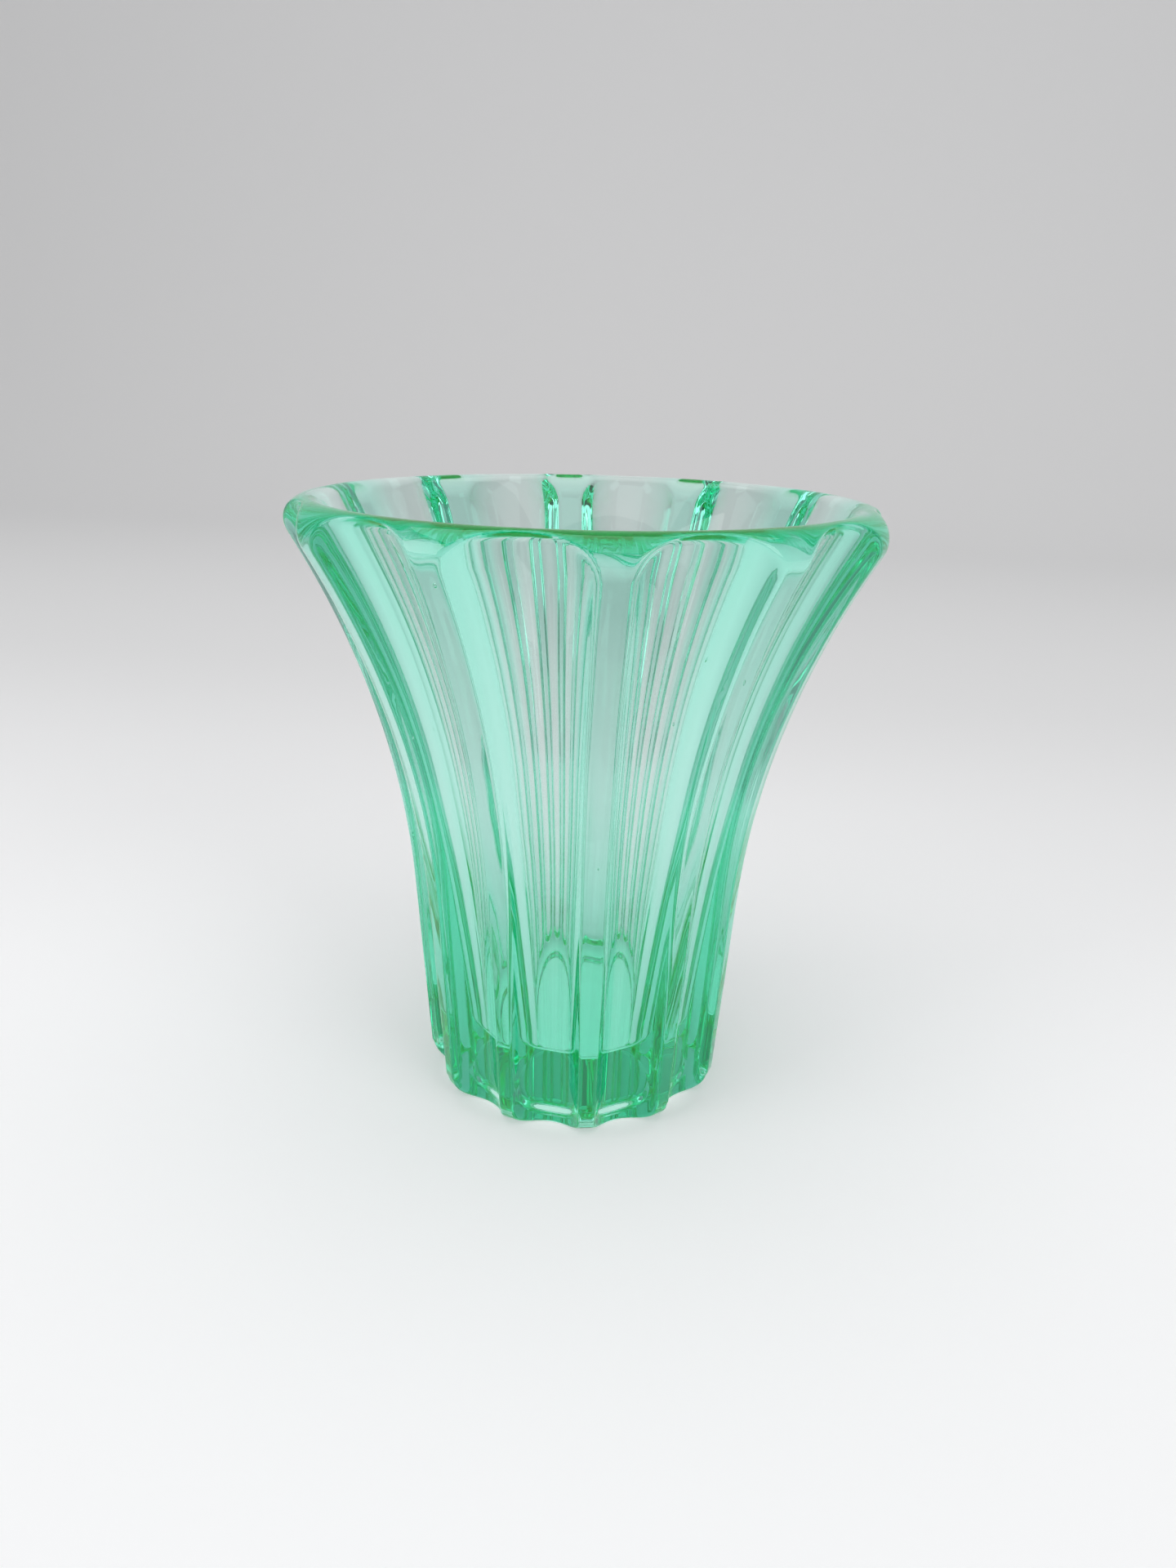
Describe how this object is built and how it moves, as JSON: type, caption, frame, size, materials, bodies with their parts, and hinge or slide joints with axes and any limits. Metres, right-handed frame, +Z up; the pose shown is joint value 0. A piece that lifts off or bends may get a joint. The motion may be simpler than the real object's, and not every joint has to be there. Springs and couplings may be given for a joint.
{
  "type": "fan vase",
  "caption": "Fluted vase of clear green pressed glass: a flared trumpet with broad ribs outside, a smooth round cavity and a thick foot.",
  "frame": {"origin": "centre of the foot's resting ring, on the surface that the vase stands on", "axes": "+Z up along the vase's axis; a flute faces the front (-Y) and the ribs lie 15 degrees either side of it"},
  "size_m": [0.1574, 0.1574, 0.17],
  "materials": {
    "green_glass": "clear pressed glass, fire polished, glossy, with a few seed bubbles"
  },
  "bodies": {
    "root": {"vase_body": "green_glass"}
  },
  "joints": []
}
